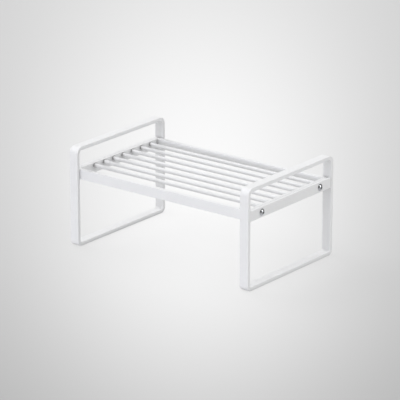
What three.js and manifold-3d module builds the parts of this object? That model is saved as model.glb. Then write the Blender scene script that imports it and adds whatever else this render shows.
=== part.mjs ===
// Metal organizer shelf: a tray of round rods, screwed between two end loops bent from flat bar.
// Millimetres, +Z up. X runs along the rods, the front faces -Y.
// The origin is on the floor, under the middle of the shelf.
import * as THREE from 'three';
import { mergeVertices } from 'three/addons/utils/BufferGeometryUtils.js';
import Module from 'manifold-3d';

const wasm = await Module();
wasm.setup();

// Overall size, taken over the two end loops
const shelfLength = 400;
const shelfDepth = 250;
const shelfHeight = 186;

// End loops: flat bar bent on the flat, so its broad side faces front, up, back and down
const loopBarWidth = 18;
const loopBarThickness = 6.5;
const loopInnerBendRadius = 9.5;

// Tray frame: two rails and two end bars standing on edge
const trayTopHeight = 145;
const trayBarHeight = 18.5;
const railThickness = 8;
const endBarThickness = 6;
const traySideClearance = 0.5;

// Rods, welded between the end bars; the gap behind the front rail is the widest one
const rodCount = 7;
const rodDiameter = 7;
const rodTopDrop = 1.8;
const frontRodGap = 36;
const rearRodGap = 18;

// Crossbars, welded between the legs of each loop, which the tray is screwed to
const crossbarHeight = 18.5;
const crossbarThickness = 6;
const crossbarSetback = 0.5;

// Dome-head screws with a hexagon socket
const screwLegDistance = 33;
const screwShankDiameter = 6;
const screwHeadDiameter = 13;
const screwHeadHeight = 3.6;
const screwHeadRim = 0.6;
const screwTipChamfer = 0.6;
const screwTipSetback = 0.5;
const screwSocketWidth = 4;
const screwSocketDepth = 2.2;
const screwHoleClearance = 0.3;
const tappedHoleWall = 1;

// Softened edges of the bars
const barEdgeRadius = 0.6;

// Facet counts: steps of one quarter turn on bends and edges, sides of round sections
const bendSteps = 10;
const edgeSteps = 2;
const rodSides = 20;
const holeSides = 24;
const screwSides = 24;
const socketSides = 6;
const domeSteps = 6;

// Places worked out from the sizes above
const legInnerY = shelfDepth / 2 - loopBarThickness;
const trayFaceY = legInnerY - traySideClearance;
const railInnerY = trayFaceY - railThickness;
const crossbarOuterX = shelfLength / 2 - crossbarSetback;
const endBarOuterX = crossbarOuterX - crossbarThickness;
const endBarInnerX = endBarOuterX - endBarThickness;
const trayBottomHeight = trayTopHeight - trayBarHeight;
const screwHeight = trayTopHeight - crossbarHeight / 2;
const screwY = legInnerY - screwLegDistance;
const screwHoleRadius = screwShankDiameter / 2 + screwHoleClearance;
const tappedHoleDepth = endBarThickness - tappedHoleWall;
const screwReach = crossbarThickness + tappedHoleDepth - screwTipSetback;

const whiteCoat = new THREE.MeshStandardMaterial({ color: 0xf2f2f4, roughness: 0.5, metalness: 0 });
const chrome = new THREE.MeshStandardMaterial({ color: 0xc4c6ca, roughness: 0.15, metalness: 1 });

// Profiles are drawn with Y across and Z up, and pushed out along X
const profileToShelf = new THREE.Matrix4().makeBasis(
  new THREE.Vector3(0, 1, 0),
  new THREE.Vector3(0, 0, 1),
  new THREE.Vector3(1, 0, 0),
);

// An ellipse curve is split into twice the number of steps that an outline is given
function stepsForSides(sides) {
  return Math.ceil(sides / 2);
}

function drawRectangle(outline, yMin, yMax, zMin, zMax, radius = 0) {
  outline.moveTo(yMin + radius, zMin);
  outline.lineTo(yMax - radius, zMin);
  if (radius > 0) outline.absarc(yMax - radius, zMin + radius, radius, -Math.PI / 2, 0, false);
  outline.lineTo(yMax, zMax - radius);
  if (radius > 0) outline.absarc(yMax - radius, zMax - radius, radius, 0, Math.PI / 2, false);
  outline.lineTo(yMin + radius, zMax);
  if (radius > 0) outline.absarc(yMin + radius, zMax - radius, radius, Math.PI / 2, Math.PI, false);
  outline.lineTo(yMin, zMin + radius);
  if (radius > 0) outline.absarc(yMin + radius, zMin + radius, radius, Math.PI, Math.PI * 1.5, false);
  return outline;
}

function drawCircle(outline, y, z, radius) {
  return outline.absarc(y, z, radius, 0, Math.PI * 2, false);
}

function extrudeAlongX(profile, xStart, length, arcSteps, edgeRadius = 0) {
  const geometry = new THREE.ExtrudeGeometry(profile, {
    depth: length - 2 * edgeRadius,
    curveSegments: arcSteps,
    bevelEnabled: edgeRadius > 0,
    bevelThickness: edgeRadius,
    bevelSize: edgeRadius,
    bevelOffset: -edgeRadius,
    bevelSegments: edgeSteps,
  });
  geometry.translate(0, 0, xStart + edgeRadius);
  return geometry.applyMatrix4(profileToShelf);
}

function addPiece(group, name, geometry, material) {
  const piece = new THREE.Mesh(geometry, material);
  piece.name = name;
  group.add(piece);
  return piece;
}

function toSolid(geometry) {
  geometry.deleteAttribute('normal');
  geometry.deleteAttribute('uv');
  const merged = mergeVertices(geometry);
  return new wasm.Manifold(new wasm.Mesh({
    numProp: 3,
    vertProperties: new Float32Array(merged.attributes.position.array),
    triVerts: new Uint32Array(merged.index.array),
  }));
}

function toGeometry(solid) {
  const mesh = solid.getMesh();
  const geometry = new THREE.BufferGeometry();
  geometry.setAttribute('position', new THREE.BufferAttribute(mesh.vertProperties, 3));
  geometry.setIndex(new THREE.BufferAttribute(mesh.triVerts, 1));
  return geometry;
}

// End loop: a closed rounded rectangle of flat bar
function endLoop(xStart) {
  const outerBendRadius = loopInnerBendRadius + loopBarThickness;
  const halfDepth = shelfDepth / 2;
  const loop = drawRectangle(new THREE.Shape(), -halfDepth, halfDepth, 0, shelfHeight, outerBendRadius);
  const openingTop = shelfHeight - loopBarThickness;
  const opening = new THREE.Path();
  drawRectangle(opening, -legInnerY, legInnerY, loopBarThickness, openingTop, loopInnerBendRadius);
  loop.holes.push(opening);
  return extrudeAlongX(loop, xStart, loopBarWidth, stepsForSides(bendSteps), barEdgeRadius);
}

function barOnEdge(halfLength, height) {
  return drawRectangle(new THREE.Shape(), -halfLength, halfLength, trayTopHeight - height, trayTopHeight);
}

// Crossbar: flat bar on edge, drilled through for the two screws
function crossbar(xStart) {
  const bar = barOnEdge(legInnerY, crossbarHeight);
  for (const y of [-screwY, screwY]) {
    bar.holes.push(drawCircle(new THREE.Path(), y, screwHeight, screwHoleRadius));
  }
  return extrudeAlongX(bar, xStart, crossbarThickness, stepsForSides(holeSides), barEdgeRadius);
}

// End bar of the tray: flat bar on edge, with two blind tapped holes in its outer face
function endBar(outward) {
  const xStart = outward > 0 ? endBarInnerX : -endBarOuterX;
  const outline = barOnEdge(trayFaceY, trayBarHeight);
  const blank = extrudeAlongX(outline, xStart, endBarThickness, stepsForSides(edgeSteps), barEdgeRadius);
  let bar = toSolid(blank);
  // The cutter is centred on the outer face, so its inner half is the hole
  const cutterLength = 2 * tappedHoleDepth;
  for (const y of [-screwY, screwY]) {
    const cutter = new THREE.CylinderGeometry(screwHoleRadius, screwHoleRadius, cutterLength, holeSides);
    cutter.rotateZ(Math.PI / 2);
    cutter.translate(outward * endBarOuterX, y, screwHeight);
    bar = bar.subtract(toSolid(cutter));
  }
  return toGeometry(bar);
}

function rail(yMin) {
  const section = new THREE.Shape();
  drawRectangle(section, yMin, yMin + railThickness, trayBottomHeight, trayTopHeight, barEdgeRadius);
  return extrudeAlongX(section, -endBarInnerX, 2 * endBarInnerX, stepsForSides(edgeSteps));
}

function rod(y) {
  const z = trayTopHeight - rodTopDrop - rodDiameter / 2;
  const section = drawCircle(new THREE.Shape(), y, z, rodDiameter / 2);
  return extrudeAlongX(section, -endBarInnerX, 2 * endBarInnerX, stepsForSides(rodSides));
}

// Screw along +Y with its bearing face at zero: a revolved shank and dome, less the socket
function screw() {
  const shankRadius = screwShankDiameter / 2;
  const headRadius = screwHeadDiameter / 2;
  const profile = [
    new THREE.Vector2(0, -screwReach),
    new THREE.Vector2(shankRadius - screwTipChamfer, -screwReach),
    new THREE.Vector2(shankRadius, screwTipChamfer - screwReach),
    new THREE.Vector2(shankRadius, 0),
    new THREE.Vector2(headRadius, 0),
  ];
  const domeHeight = screwHeadHeight - screwHeadRim;
  const domeRadius = (headRadius ** 2 + domeHeight ** 2) / (2 * domeHeight);
  const domeAngle = Math.asin(headRadius / domeRadius);
  for (let step = 0; step < domeSteps; step += 1) {
    const angle = domeAngle * (1 - step / domeSteps);
    const height = screwHeadHeight - domeRadius * (1 - Math.cos(angle));
    profile.push(new THREE.Vector2(domeRadius * Math.sin(angle), height));
  }
  profile.push(new THREE.Vector2(0, screwHeadHeight));

  // The cutter is centred on the crown, so its lower half is the socket
  const cutterHeight = 2 * screwSocketDepth;
  const cutterRadius = screwSocketWidth / 2 / Math.cos(Math.PI / socketSides);
  const socket = new THREE.CylinderGeometry(cutterRadius, cutterRadius, cutterHeight, socketSides);
  socket.translate(0, screwHeadHeight, 0);
  const blank = toSolid(new THREE.LatheGeometry(profile, screwSides));
  return toGeometry(blank.subtract(toSolid(socket)));
}

// End frames and their screws, one at each end
function endFrame(side, outward) {
  const group = new THREE.Group();
  const spanStart = (outer, width) => (outward > 0 ? outer - width : -outer);
  addPiece(group, `${side}_end_loop`, endLoop(spanStart(shelfLength / 2, loopBarWidth)), whiteCoat);
  const crossbarX = spanStart(crossbarOuterX, crossbarThickness);
  addPiece(group, `${side}_crossbar`, crossbar(crossbarX), whiteCoat);
  for (const [place, y] of [['front', -screwY], ['rear', screwY]]) {
    const piece = addPiece(group, `${side}_${place}_screw`, screw(), chrome);
    piece.position.set(outward * crossbarOuterX, y, screwHeight);
    piece.rotation.z = -outward * Math.PI / 2;
  }
  return group;
}

// Tray: rails, end bars and rods, welded into one frame
function tray() {
  const group = new THREE.Group();
  addPiece(group, 'front_rail', rail(-trayFaceY), whiteCoat);
  addPiece(group, 'rear_rail', rail(railInnerY), whiteCoat);
  for (const [side, outward] of [['left', -1], ['right', 1]]) {
    addPiece(group, `${side}_tray_end_bar`, endBar(outward), whiteCoat);
  }
  const firstRodY = -railInnerY + frontRodGap + rodDiameter / 2;
  const lastRodY = railInnerY - rearRodGap - rodDiameter / 2;
  const rodPitch = (lastRodY - firstRodY) / (rodCount - 1);
  for (let index = 0; index < rodCount; index += 1) {
    addPiece(group, `rod_${index + 1}`, rod(firstRodY + index * rodPitch), whiteCoat);
  }
  return group;
}

const shelf = new THREE.Group();
shelf.name = 'organizer_shelf';
shelf.add(endFrame('left', -1), endFrame('right', 1), tray());

export default shelf;
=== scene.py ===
import math

import bmesh
import bpy
from mathutils import Matrix, Vector
from mathutils.geometry import tessellate_polygon


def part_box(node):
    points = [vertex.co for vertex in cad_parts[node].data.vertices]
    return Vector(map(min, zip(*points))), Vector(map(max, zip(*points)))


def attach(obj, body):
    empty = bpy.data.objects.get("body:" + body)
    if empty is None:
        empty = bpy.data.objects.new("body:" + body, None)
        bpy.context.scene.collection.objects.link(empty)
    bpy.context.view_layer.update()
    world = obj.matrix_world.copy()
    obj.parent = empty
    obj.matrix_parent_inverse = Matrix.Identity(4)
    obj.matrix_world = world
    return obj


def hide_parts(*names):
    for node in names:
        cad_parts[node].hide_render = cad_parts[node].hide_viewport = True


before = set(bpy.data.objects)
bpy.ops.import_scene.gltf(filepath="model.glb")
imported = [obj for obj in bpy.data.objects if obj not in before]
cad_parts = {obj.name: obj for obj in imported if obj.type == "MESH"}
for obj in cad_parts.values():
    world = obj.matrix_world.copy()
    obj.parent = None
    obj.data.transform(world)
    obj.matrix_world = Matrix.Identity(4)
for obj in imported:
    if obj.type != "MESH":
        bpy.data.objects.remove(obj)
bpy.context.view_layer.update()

MM = 0.001

# Bars and rods
LOOP_BAR_THICKNESS = 6.5 * MM
LOOP_TOP_BEND = 6.5 * MM
LOOP_FOOT_BEND = 3.5 * MM
BAR_EDGE = 0.5 * MM
BAR_CORNER = 1.0 * MM
RAIL_END_EDGE = 0.3 * MM
ROD_END_EDGE = 0.6 * MM
ROD_COUNT = 7

# Screws
SHANK_RADIUS = 3.0 * MM
HOLE_RADIUS = 3.3 * MM
HEAD_RADIUS = 6.5 * MM
HEAD_HEIGHT = 3.6 * MM
HEAD_RIM = 0.6 * MM
HEAD_EDGE = 0.25 * MM
SOCKET_WIDTH = 4.0 * MM
SOCKET_DEPTH = 2.2 * MM
SOCKET_CHAMFER = 0.25 * MM
SOCKET_POINT = 0.5 * MM
THREAD_PITCH = 1.0 * MM
THREAD_DEPTH = 0.55 * MM
THREAD_FIT = 0.05 * MM
THREAD_STEPS_PER_PITCH = 8
TIP_CHAMFER = 0.6 * MM
TAPPED_HOLE_WALL = 1.0 * MM

# Weld beads under the coat
ROD_BEAD = 1.2 * MM
ROD_BEAD_SWEEP = 130
BAR_BEAD = 1.2 * MM
BEAD_SINK = 0.15 * MM
BEAD_RIPPLE = 0.10
BEAD_PITCH = 2.2 * MM
BEAD_STEPS_PER_PITCH = 6

# Steps of a quarter turn, and sides of a full one
BEND_STEPS = 16
EDGE_STEPS = 3
BEAD_STEPS = 4
ROUND_SIDES = 36
SCREW_SIDES = 48
DOME_STEPS = 10
SHARP_DEGREES = 42

# Coat and plating: noises by size and detail, bumps by strength and distance
NOISE_RANGE = (0.3, 0.7)
COAT_DRIFT = (45 * MM, 2)
COAT_GRAIN = (0.35 * MM, 1)
COAT_PEEL = (1.8 * MM, 2)
COAT_GRAIN_BUMP = (0.15, 0.02 * MM)
COAT_PEEL_BUMP = (0.45, 0.05 * MM)
COAT_DULL = (0.877, 0.879, 0.887, 1)
COAT_BRIGHT = (0.892, 0.894, 0.900, 1)
COAT_ROUGHNESS = (0.36, 0.46)
PLATING_CLOUD = (3 * MM, 3)
PLATING_GRAIN = (0.15 * MM, 2)
PLATING_GRAIN_BUMP = (0.1, 0.01 * MM)
PLATING_DULL = (0.53, 0.54, 0.56, 1)
PLATING_BRIGHT = (0.59, 0.60, 0.62, 1)
PLATING_ROUGHNESS = (0.06, 0.12)

# Painted shade in the corners: its reach and tone, and the openness between full tone and none
FRAME_PAINTED_SHADE = (6 * MM, 0.82)
TRAY_PAINTED_SHADE = (10 * MM, 0.36)
PAINTED_SHADE_OPENNESS = (0.45, 0.95)
PAINTED_SHADE_SAMPLES = 8

# Camera, in metres and degrees
CAMERA_PLACE = (2.9133, -3.7348, 1.6922)
CAMERA_YAW = -37.975
CAMERA_PITCH = -18.648
CAMERA_LENS_MM = 251.83
SENSOR_MM = 36.0

# World: even light, and in gloss a pale wall that comes in along X and along Z of the direction
WORLD_STRENGTH = 0.6
WORLD_GLOSS_WALL = 0.8
WORLD_GLOSS_DIM = 0.1
WALL_ACROSS = (0.2, -0.5)
WALL_UP = (0.75, 0.45)

# Lamps: name, direction they come from, strength, angle across in degrees, colour, shown in gloss
COOL = (0.905, 0.92, 1.0)
WARM = (1.0, 1.0, 0.98)
WHITE = (1.0, 1.0, 1.0)
LAMPS = (
    ("front", (0, -1, 0.04), 0.58, 7, COOL, False),
    ("front_high", (0, -1, 0.2), 0.28, 7, COOL, False),
    ("right_low", (1, 0, 0.008), 0.32, 1, WARM, False),
    ("right_high", (1, 0, 1), 0.15, 40, WHITE, True),
    ("left_high", (-1, 0, 1), 1.42, 40, WHITE, False),
    ("top", (0, 0, 1), 0.2, 60, WHITE, False),
)

# Card to the right of the shelf, seen in gloss
CARD_PLACE = (1.91, 0.85, 0.71)
CARD_SIZE = (1.0, 1.7)
CARD_POWER = 14.0

# Floor: its tone and a painted pool of light, laid out from a fixed foot point by bearing and one
# over distance
FLOOR_SIZE = 30.0
FLOOR_LEVEL = -0.2 * MM
FLOOR_FAR = 0.595
FLOOR_NEAR = 0.372
FLOOR_FAR_AT = 0.15
FLOOR_NEAR_AT = 0.25
FLOOR_GLOW = 0.75
FLOOR_BOUNCE = 0.62
POOL_GAIN = 0.585
POOL_FOOT = (CAMERA_PLACE[0], CAMERA_PLACE[1], 0)
POOL_MIDDLE = (0, 0.2013, 0)
POOL_SPREAD = (0.071, 0.0565, 1)
POOL_EDGE = 1.05


class Shell:
    """Rings of points and the faces between them."""

    def __init__(self):
        self.points = []
        self.faces = []

    def ring(self, points):
        start = len(self.points)
        self.points += [tuple(point) for point in points]
        return list(range(start, len(self.points)))

    def bridge(self, first, second):
        for index in range(len(first)):
            after = (index + 1) % len(first)
            self.faces.append((first[index], first[after], second[after], second[index]))

    def close(self, ring, tip):
        """Fan from a ring to one point."""
        centre = self.ring([tip])[0]
        for index in range(len(ring)):
            self.faces.append((ring[index], ring[(index + 1) % len(ring)], centre))

    def cap(self, *rings):
        """Flat end across X: the first ring is its outline, the others are holes in it."""
        order = [index for ring in rings for index in ring]
        loops = [[Vector((*self.points[index][1:], 0)) for index in ring] for ring in rings]
        for corners in tessellate_polygon(loops):
            self.faces.append(tuple(order[corner] for corner in corners))


def add_object(name, data):
    thing = bpy.data.objects.new(name, data)
    bpy.context.scene.collection.objects.link(thing)
    return thing


def make_piece(name, shell, material, node=None):
    """Closed mesh on the only body, which stands for a CAD node where one is named."""
    mesh = bpy.data.meshes.new(name)
    mesh.from_pydata(shell.points, [], shell.faces)
    sorter = bmesh.new()
    sorter.from_mesh(mesh)
    bmesh.ops.recalc_face_normals(sorter, faces=sorter.faces)
    sorter.to_mesh(mesh)
    sorter.free()
    mesh.shade_smooth()
    mesh.set_sharp_from_angle(angle=math.radians(SHARP_DEGREES))
    mesh.materials.append(material)
    piece = add_object(name, mesh)
    normals = piece.modifiers.new("flat sides", "WEIGHTED_NORMAL")
    normals.keep_sharp = True
    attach(piece, "root")
    if node:
        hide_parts(node)


# Outlines are lists of (y, z, outward y, outward z)
def arc(centre, radius, start, sweep, steps, whole=False):
    points = []
    for step in range(steps if whole else steps + 1):
        angle = math.radians(start + sweep * step / steps)
        away = (math.cos(angle), math.sin(angle))
        points.append((centre[0] + radius * away[0], centre[1] + radius * away[1], *away))
    return points


def circle(centre, radius, sides=ROUND_SIDES):
    return arc(centre, radius, 0, 360, sides, whole=True)


def rounded_rectangle(low, high, radius, steps, foot_radius=None):
    """Outline with round corners, where the two lower ones can have a radius of their own."""
    foot = foot_radius or radius
    outline = arc((high[0] - foot, low[1] + foot), foot, -90, 90, steps)
    outline += arc((high[0] - radius, high[1] - radius), radius, 0, 90, steps)
    outline += arc((low[0] + radius, high[1] - radius), radius, 90, 90, steps)
    outline += arc((low[0] + foot, low[1] + foot), foot, 180, 90, steps)
    return outline


def as_hole(outline):
    return [(y, z, -away_y, -away_z) for y, z, away_y, away_z in outline]


def set_in(outline, x, inset):
    return [(x, y - inset * away_y, z - inset * away_z) for y, z, away_y, away_z in outline]


def rim_stations(x_edge, inward, edge):
    """Places along X and insets that round an edge, from the end face to the side."""
    stations = []
    for step in range(EDGE_STEPS + 1):
        angle = math.pi / 2 * step / EDGE_STEPS
        x = x_edge + inward * edge * (1 - math.cos(angle))
        stations.append((x, edge * (1 - math.sin(angle))))
    return stations


def wall(shell, outline, stations):
    rings = [shell.ring(set_in(outline, x, inset)) for x, inset in stations]
    for first, second in zip(rings, rings[1:]):
        shell.bridge(first, second)
    return rings[0], rings[-1]


def extrude(outline, x_low, x_high, edge, holes=()):
    """Outline pushed along X, with rounded edges and holes right through."""
    shell = Shell()
    stations = rim_stations(x_low, 1, edge) + rim_stations(x_high, -1, edge)[::-1]
    ends = [wall(shell, outline, stations)]
    ends += [wall(shell, as_hole(hole), stations) for hole in holes]
    shell.cap(*[low for low, high in ends])
    shell.cap(*[high for low, high in ends])
    return shell


def flat(corner):
    return corner[1:]


def make_loop(side, coat):
    """Flat bar bent to a closed loop, a little tighter at the foot than at the top."""
    node = f"{side}_end_loop"
    low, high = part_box(node)
    bar = Vector((0, LOOP_BAR_THICKNESS, LOOP_BAR_THICKNESS))
    outer_top = LOOP_TOP_BEND + LOOP_BAR_THICKNESS
    outer_foot = LOOP_FOOT_BEND + LOOP_BAR_THICKNESS
    outside = rounded_rectangle(flat(low), flat(high), outer_top, BEND_STEPS, outer_foot)
    low_in, high_in = flat(low + bar), flat(high - bar)
    inside = rounded_rectangle(low_in, high_in, LOOP_TOP_BEND, BEND_STEPS, LOOP_FOOT_BEND)
    shell = extrude(outside, low.x, high.x, BAR_EDGE, [inside])
    make_piece(f"{node}_coated", shell, coat, node)


def screw_places(side):
    """Middle of each screw across the end, as (y, z)."""
    places = []
    for place in ("front", "rear"):
        low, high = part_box(f"{side}_{place}_screw")
        places.append(((low.y + high.y) / 2, (low.z + high.z) / 2))
    return places


def make_crossbar(side, coat):
    node = f"{side}_crossbar"
    low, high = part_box(node)
    outline = rounded_rectangle(flat(low), flat(high), BAR_CORNER, EDGE_STEPS)
    holes = [circle(place, HOLE_RADIUS) for place in screw_places(side)]
    shell = extrude(outline, low.x, high.x, BAR_EDGE, holes)
    make_piece(f"{node}_coated", shell, coat, node)


def make_end_bar(side, outward, coat):
    """Flat bar with two blind tapped holes in its outer face."""
    node = f"{side}_tray_end_bar"
    low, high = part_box(node)
    outer_x = high.x if outward > 0 else low.x
    inner_x = low.x if outward > 0 else high.x
    shell = Shell()
    outline = rounded_rectangle(flat(low), flat(high), BAR_CORNER, EDGE_STEPS)
    outer_rim = rim_stations(outer_x, -outward, BAR_EDGE)
    stations = rim_stations(inner_x, outward, BAR_EDGE) + outer_rim[::-1]
    inner_end, outer_end = wall(shell, outline, stations)
    shell.cap(inner_end)
    mouths = []
    floor_x = inner_x + outward * TAPPED_HOLE_WALL
    for place in screw_places(side):
        hole = as_hole(circle(place, HOLE_RADIUS))
        mouth, floor = wall(shell, hole, outer_rim + [(floor_x, 0)])
        shell.close(floor, (floor_x, *place))
        mouths.append(mouth)
    shell.cap(outer_end, *mouths)
    make_piece(f"{node}_coated", shell, coat, node)


def make_rail(node, coat):
    low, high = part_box(node)
    outline = rounded_rectangle(flat(low), flat(high), BAR_EDGE, EDGE_STEPS)
    shell = extrude(outline, low.x, high.x, RAIL_END_EDGE)
    make_piece(f"{node}_coated", shell, coat, node)


def make_rod(node, coat):
    low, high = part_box(node)
    middle = flat((low + high) / 2)
    shell = extrude(circle(middle, (high.z - low.z) / 2), low.x, high.x, ROD_END_EDGE)
    make_piece(f"{node}_coated", shell, coat, node)


def bead(shell, corners, along, across, size):
    """Fillet bead on a line of inner corners, with legs along one face and across to the other."""
    rings = []
    for index, (corner, one, two) in enumerate(zip(corners, along, across)):
        leg = size * (1 + BEAD_RIPPLE * math.sin(2 * math.pi * index / BEAD_STEPS_PER_PITCH))
        ring = []
        for step in range(BEAD_STEPS + 1):
            angle = math.pi / 2 * step / BEAD_STEPS
            out_one = one * leg * (1 - math.sin(angle))
            out_two = two * leg * (1 - math.cos(angle))
            ring.append(corner + out_one + out_two)
        ring.append(corner + two * leg - one * BEAD_SINK)
        ring.append(corner - (one + two) * BEAD_SINK)
        ring.append(corner + one * leg - two * BEAD_SINK)
        rings.append(shell.ring(ring))
    for first, second in zip(rings, rings[1:]):
        shell.bridge(first, second)
    for ring in (rings[0], rings[-1]):
        middle = sum((Vector(shell.points[index]) for index in ring), Vector()) / len(ring)
        shell.close(ring, middle)


def straight_bead(shell, start, end, one, two, size):
    steps = math.ceil((end - start).length / BEAD_PITCH * BEAD_STEPS_PER_PITCH)
    corners = [start.lerp(end, step / steps) for step in range(steps + 1)]
    bead(shell, corners, [one] * len(corners), [two] * len(corners), size)


def under_bead(shell, centre, radius, inward, size):
    """Bead round the underside of a rod's end."""
    around = []
    for side in range(ROUND_SIDES + 1):
        angle = math.radians(-90 + ROD_BEAD_SWEEP * (side / ROUND_SIDES - 0.5))
        around.append(Vector((0, math.cos(angle), math.sin(angle))))
    corners = [centre + away * radius for away in around]
    bead(shell, corners, around, [inward] * len(corners), size)


def make_tray_welds(side, outward, coat):
    """Beads under the rod ends, and up the inner corners of the rails."""
    shell = Shell()
    bar_low, bar_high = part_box(f"{side}_tray_end_bar")
    face_x = bar_low.x if outward > 0 else bar_high.x
    inward = Vector((-outward, 0, 0))
    for index in range(ROD_COUNT):
        low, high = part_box(f"rod_{index + 1}")
        centre = (low + high) / 2
        centre.x = face_x
        under_bead(shell, centre, (high.z - low.z) / 2, inward, ROD_BEAD)
    front_low, front_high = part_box("front_rail")
    rear_low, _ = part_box("rear_rail")
    for y, away in ((front_high.y, 1), (rear_low.y, -1)):
        start = Vector((face_x, y, front_low.z + BAR_EDGE))
        end = Vector((face_x, y, front_high.z - BAR_EDGE))
        straight_bead(shell, start, end, Vector((0, away, 0)), inward, BAR_BEAD)
    make_piece(f"{side}_tray_welds", shell, coat)


def make_crossbar_welds(side, coat):
    """Beads over and under each end of the crossbar, against the legs of the loop."""
    shell = Shell()
    low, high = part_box(f"{side}_crossbar")
    for y, away in ((low.y, 1), (high.y, -1)):
        for z, up in ((low.z, -1), (high.z, 1)):
            start = Vector((low.x + BAR_EDGE, y, z))
            end = Vector((high.x - BAR_EDGE, y, z))
            straight_bead(shell, start, end, Vector((0, away, 0)), Vector((0, 0, up)), BAR_BEAD)
    make_piece(f"{side}_crossbar_welds", shell, coat)


def around_axis(radius_at, height_at):
    """Ring round the Z axis, from the radius at each angle and the height at each radius."""
    points = []
    for side in range(SCREW_SIDES):
        angle = 2 * math.pi * side / SCREW_SIDES
        radius = radius_at(angle)
        points.append((radius * math.cos(angle), radius * math.sin(angle), height_at(radius)))
    return points


def same(value):
    """Function that gives one value wherever it is asked."""
    return lambda where: value


def screw_shell(reach):
    """Screw on the Z axis with its head upwards and its bearing face at zero."""
    dome = HEAD_HEIGHT - HEAD_RIM
    dome_radius = (HEAD_RADIUS ** 2 + dome ** 2) / (2 * dome)

    def dome_height(radius):
        return HEAD_HEIGHT - dome_radius + math.sqrt(dome_radius ** 2 - radius ** 2)

    def hexagon(width):
        sixth = math.pi / 3
        return lambda angle: width / 2 / math.cos((angle + sixth / 2) % sixth - sixth / 2)

    def thread_radius(height):
        taper = max(0, TIP_CHAMFER - (reach + height))
        crest = SHANK_RADIUS - THREAD_FIT

        def radius_at(angle):
            turn = (height / THREAD_PITCH - angle / (2 * math.pi)) % 1
            return crest - max(taper, THREAD_DEPTH * abs(2 * turn - 1))

        return radius_at

    shell = Shell()
    rings = []
    for step in range(round(reach / THREAD_PITCH * THREAD_STEPS_PER_PITCH) + 1):
        height = -reach + step * THREAD_PITCH / THREAD_STEPS_PER_PITCH
        rings.append(around_axis(thread_radius(height), same(height)))
    for radius, height in (
        (SHANK_RADIUS, 0),
        (HEAD_RADIUS - HEAD_EDGE, 0),
        (HEAD_RADIUS, HEAD_EDGE),
        (HEAD_RADIUS, HEAD_RIM - HEAD_EDGE),
    ):
        rings.append(around_axis(same(radius), same(height)))
    socket = hexagon(SOCKET_WIDTH)
    mouth = hexagon(SOCKET_WIDTH + 2 * SOCKET_CHAMFER)
    edge = HEAD_RADIUS - HEAD_EDGE / 2

    def towards_mouth(share):
        return lambda angle: edge + (mouth(angle) - edge) * share

    for step in range(DOME_STEPS + 1):
        rings.append(around_axis(towards_mouth(step / DOME_STEPS), dome_height))
    lip = dome_height(SOCKET_WIDTH / 2) - SOCKET_CHAMFER
    floor = HEAD_HEIGHT - SOCKET_DEPTH
    for height in (lip, floor):
        rings.append(around_axis(socket, same(height)))
    indices = [shell.ring(ring) for ring in rings]
    for first, second in zip(indices, indices[1:]):
        shell.bridge(first, second)
    shell.close(indices[0], (0, 0, -reach))
    shell.close(indices[-1], (0, 0, floor - SOCKET_POINT))
    return shell


def make_screw(side, place, outward, plating):
    node = f"{side}_{place}_screw"
    low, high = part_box(node)
    bar_low, bar_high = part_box(f"{side}_crossbar")
    bearing_x = bar_high.x if outward > 0 else bar_low.x
    tip_x = low.x if outward > 0 else high.x
    shell = screw_shell(abs(bearing_x - tip_x))
    turn = Matrix.Rotation(outward * math.pi / 2, 4, "Y")
    shift = Matrix.Translation((bearing_x, (low.y + high.y) / 2, (low.z + high.z) / 2))
    shell.points = [tuple(shift @ turn @ Vector(point)) for point in shell.points]
    make_piece(f"{node}_plated", shell, plating, node)


def new_material(name):
    material = bpy.data.materials.new(name)
    material.use_nodes = True
    nodes = material.node_tree.nodes
    return material, nodes, material.node_tree.links, nodes["Principled BSDF"]


def noise(nodes, links, place, size, detail):
    """Noise whose lumps are about size across."""
    texture = nodes.new("ShaderNodeTexNoise")
    texture.inputs["Scale"].default_value = 1 / size
    texture.inputs["Detail"].default_value = detail
    links.new(place.outputs["Object"], texture.inputs["Vector"])
    return texture.outputs["Fac"]


def ramp(nodes, links, value, start, end, low=0, high=1):
    """Value carried from one range, start to end, onto another, low to high, and held at its ends."""
    node = nodes.new("ShaderNodeMapRange")
    node.inputs["From Min"].default_value = start
    node.inputs["From Max"].default_value = end
    node.inputs["To Min"].default_value = low
    node.inputs["To Max"].default_value = high
    links.new(value, node.inputs["Value"])
    return node.outputs["Result"]


def spread(nodes, links, factor, low, high):
    """Noise stretched to run between two values."""
    return ramp(nodes, links, factor, *NOISE_RANGE, low, high)


def tinted(nodes, links, factor, dull, bright):
    """Colour that drifts between two shades with a noise."""
    tint = nodes.new("ShaderNodeMix")
    tint.data_type = "RGBA"
    tint.inputs["A"].default_value = dull
    tint.inputs["B"].default_value = bright
    links.new(spread(nodes, links, factor, 0, 1), tint.inputs["Factor"])
    return tint.outputs["Result"]


def bump(nodes, links, height, strength, distance, under=None):
    node = nodes.new("ShaderNodeBump")
    node.inputs["Strength"].default_value = strength
    node.inputs["Distance"].default_value = distance
    links.new(height, node.inputs["Height"])
    if under:
        links.new(under, node.inputs["Normal"])
    return node.outputs["Normal"]


def painted_corner_shade(nodes, links, colour, reach, tone):
    """Colour darkened by painted shade, deepest in the corners where ambient occlusion finds nearby
    surfaces.
    """
    # Ambient occlusion darkens the base colour here: painted shade in corners and creases.
    corner = nodes.new("ShaderNodeAmbientOcclusion")
    corner.samples = PAINTED_SHADE_SAMPLES
    corner.inputs["Distance"].default_value = reach
    shade_factor = ramp(nodes, links, corner.outputs["AO"], *PAINTED_SHADE_OPENNESS, tone, 1)
    shade = nodes.new("ShaderNodeVectorMath")
    shade.operation = "SCALE"
    links.new(colour, shade.inputs["Vector"])
    links.new(shade_factor, shade.inputs["Scale"])
    return shade.outputs["Vector"]


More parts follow.
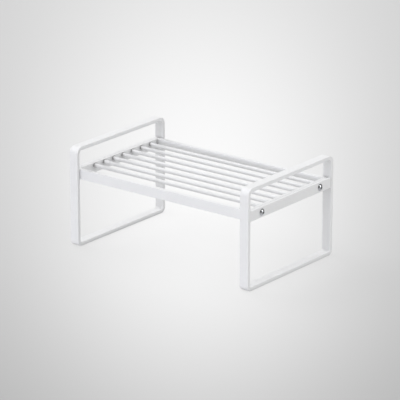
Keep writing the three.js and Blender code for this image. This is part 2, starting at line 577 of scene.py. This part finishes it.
def white_coat(name, shade_reach, shade_tone):
    """Satin powder coat: soft orange peel, fine grain, slight drifts of shade, and painted shade in
    its corners.
    """
    material, nodes, links, shader = new_material(name)
    place = nodes.new("ShaderNodeTexCoord")
    drift = noise(nodes, links, place, *COAT_DRIFT)
    grain = noise(nodes, links, place, *COAT_GRAIN)
    peel = noise(nodes, links, place, *COAT_PEEL)
    tint = tinted(nodes, links, drift, COAT_DULL, COAT_BRIGHT)
    colour = painted_corner_shade(nodes, links, tint, shade_reach, shade_tone)
    links.new(colour, shader.inputs["Base Color"])
    links.new(spread(nodes, links, peel, *COAT_ROUGHNESS), shader.inputs["Roughness"])
    rough = bump(nodes, links, grain, *COAT_GRAIN_BUMP)
    links.new(bump(nodes, links, peel, *COAT_PEEL_BUMP, rough), shader.inputs["Normal"])
    return material


def bright_plating():
    """Polished plating with faint cloudiness and a very fine grain."""
    material, nodes, links, shader = new_material("bright_plating")
    place = nodes.new("ShaderNodeTexCoord")
    cloud = noise(nodes, links, place, *PLATING_CLOUD)
    grain = noise(nodes, links, place, *PLATING_GRAIN)
    tint = tinted(nodes, links, cloud, PLATING_DULL, PLATING_BRIGHT)
    links.new(tint, shader.inputs["Base Color"])
    shader.inputs["Metallic"].default_value = 1
    links.new(spread(nodes, links, cloud, *PLATING_ROUGHNESS), shader.inputs["Roughness"])
    links.new(bump(nodes, links, grain, *PLATING_GRAIN_BUMP), shader.inputs["Normal"])
    return material


def make_shelf():
    # Both coats darken their corners with painted shade; the tray's painted shade is much deeper.
    coat = white_coat("white_coat", *FRAME_PAINTED_SHADE)
    shaded_tray_coat = white_coat("shaded_tray_coat", *TRAY_PAINTED_SHADE)
    plating = bright_plating()
    for side, outward in (("left", -1), ("right", 1)):
        make_loop(side, coat)
        make_crossbar(side, coat)
        make_crossbar_welds(side, coat)
        make_end_bar(side, outward, shaded_tray_coat)
        make_tray_welds(side, outward, shaded_tray_coat)
        for place in ("front", "rear"):
            make_screw(side, place, outward, plating)
    for node in ("front_rail", "rear_rail"):
        make_rail(node, coat)
    for index in range(ROD_COUNT):
        make_rod(f"rod_{index + 1}", shaded_tray_coat)


def calc(nodes, links, operation, *values):
    """Math node fed with sockets or plain numbers."""
    node = nodes.new("ShaderNodeMath")
    node.operation = operation
    for socket, value in zip(node.inputs, values):
        if isinstance(value, (int, float)):
            socket.default_value = value
        else:
            links.new(value, socket)
    return node.outputs["Value"]


def turned(nodes, links, vector, origin, angle, scale):
    """Coordinates measured from an origin, along turned and scaled axes."""
    node = nodes.new("ShaderNodeMapping")
    node.vector_type = "TEXTURE"
    node.inputs["Location"].default_value = origin
    node.inputs["Rotation"].default_value = (0, 0, angle)
    node.inputs["Scale"].default_value = scale
    links.new(vector, node.inputs["Vector"])
    return node.outputs["Vector"]


def painted_floor_tone(nodes, links):
    """Painted brightness of the floor: darker nearby than far off, with the painted pool of light on
    top.
    """
    place = nodes.new("ShaderNodeTexCoord")
    bearing = math.radians(-CAMERA_YAW)
    from_foot = turned(nodes, links, place.outputs["Object"], POOL_FOOT, bearing, (1, 1, 1))
    split = nodes.new("ShaderNodeSeparateXYZ")
    links.new(from_foot, split.inputs["Vector"])
    join = nodes.new("ShaderNodeCombineXYZ")
    sideways = calc(nodes, links, "DIVIDE", split.outputs["X"], split.outputs["Y"])
    nearness = calc(nodes, links, "DIVIDE", 1, split.outputs["Y"])
    links.new(sideways, join.inputs["X"])
    links.new(nearness, join.inputs["Y"])
    from_middle = turned(nodes, links, join.outputs["Vector"], POOL_MIDDLE, 0, POOL_SPREAD)
    square = nodes.new("ShaderNodeVectorMath")
    square.operation = "DOT_PRODUCT"
    links.new(from_middle, square.inputs[0])
    links.new(from_middle, square.inputs[1])
    edge = calc(nodes, links, "POWER", square.outputs["Value"], POOL_EDGE)
    pool = calc(nodes, links, "POWER", math.exp(-1), edge)
    outside = ramp(nodes, links, nearness, FLOOR_FAR_AT, FLOOR_NEAR_AT, FLOOR_FAR, FLOOR_NEAR)
    return calc(nodes, links, "MULTIPLY_ADD", pool, POOL_GAIN, outside)


def make_floor():
    corners = []
    for across, along in ((-1, -1), (1, -1), (1, 1), (-1, 1)):
        corners.append((across * FLOOR_SIZE, along * FLOOR_SIZE, FLOOR_LEVEL))
    mesh = bpy.data.meshes.new("floor")
    mesh.from_pydata(corners, [], [(0, 1, 2, 3)])
    floor = add_object("floor", mesh)
    material, nodes, links, shader = new_material("floor")
    nodes.remove(shader)
    tone = painted_floor_tone(nodes, links)
    diffuse = nodes.new("ShaderNodeBsdfDiffuse")
    glow = nodes.new("ShaderNodeEmission")
    mix = nodes.new("ShaderNodeMixShader")
    path = nodes.new("ShaderNodeLightPath")
    seen = path.outputs["Is Camera Ray"]
    for ray in ("Is Glossy Ray", "Is Transmission Ray"):
        seen = calc(nodes, links, "MAXIMUM", seen, path.outputs[ray])
    diffuse.inputs["Color"].default_value = (FLOOR_BOUNCE, FLOOR_BOUNCE, FLOOR_BOUNCE, 1)
    links.new(tone, glow.inputs["Color"])
    # Camera and gloss rays mostly see the glow, which carries the painted pool of light and fall-off;
    # only the diffuse share is truly lit and shadowed.
    links.new(calc(nodes, links, "MULTIPLY", seen, FLOOR_GLOW), mix.inputs["Fac"])
    links.new(diffuse.outputs["BSDF"], mix.inputs[1])
    links.new(glow.outputs["Emission"], mix.inputs[2])
    links.new(mix.outputs["Shader"], nodes["Material Output"].inputs["Surface"])
    mesh.materials.append(material)


def world_strength(nodes, links):
    """Even light all round, but in gloss a pale wall low on the left and a dim room elsewhere."""
    place = nodes.new("ShaderNodeTexCoord")
    split = nodes.new("ShaderNodeSeparateXYZ")
    links.new(place.outputs["Generated"], split.inputs["Vector"])
    leftness = ramp(nodes, links, split.outputs["X"], *WALL_ACROSS)
    lowness = ramp(nodes, links, split.outputs["Z"], *WALL_UP)
    paleness = calc(nodes, links, "MULTIPLY", leftness, lowness)
    dim_change = WORLD_GLOSS_DIM - WORLD_STRENGTH
    wall_change = WORLD_GLOSS_WALL - WORLD_STRENGTH
    gloss = ramp(nodes, links, paleness, 0, 1, dim_change, wall_change)
    path = nodes.new("ShaderNodeLightPath")
    change = calc(nodes, links, "MULTIPLY", path.outputs["Is Glossy Ray"], gloss)
    return calc(nodes, links, "ADD", change, WORLD_STRENGTH)


def aimed_from(origin):
    """Turn of a lamp that shines from an origin towards the middle."""
    return Vector(origin).to_track_quat("Z", "Y").to_euler()


def make_light():
    world = bpy.data.worlds.new("studio")
    world.use_nodes = True
    nodes, links = world.node_tree.nodes, world.node_tree.links
    background = nodes["Background"]
    background.inputs["Color"].default_value = (1, 1, 1, 1)
    links.new(world_strength(nodes, links), background.inputs["Strength"])
    bpy.context.scene.world = world
    for name, origin, strength, angle, colour, in_gloss in LAMPS:
        lamp = bpy.data.lights.new(name, "SUN")
        lamp.energy = strength
        lamp.angle = math.radians(angle)
        lamp.color = colour
        sun = add_object(name, lamp)
        sun.rotation_euler = aimed_from(origin)
        sun.visible_glossy = in_gloss
    make_card()


def make_card():
    """Bright card, seen only in the polished screw heads and in the gloss of the coat."""
    lamp = bpy.data.lights.new("card", "AREA")
    lamp.shape = "RECTANGLE"
    lamp.size, lamp.size_y = CARD_SIZE
    lamp.energy = CARD_POWER
    card = add_object("card", lamp)
    card.location = CARD_PLACE
    card.rotation_euler = aimed_from(CARD_PLACE)
    card.visible_camera = False
    card.visible_diffuse = False


def make_camera():
    data = bpy.data.cameras.new("camera")
    data.lens = CAMERA_LENS_MM
    data.sensor_width = SENSOR_MM
    camera = add_object("camera", data)
    camera.location = CAMERA_PLACE
    camera.rotation_euler = (math.radians(90 + CAMERA_PITCH), 0, math.radians(-CAMERA_YAW))
    bpy.context.scene.camera = camera


make_shelf()
make_floor()
make_light()
make_camera()
bpy.context.scene.view_settings.view_transform = "Standard"
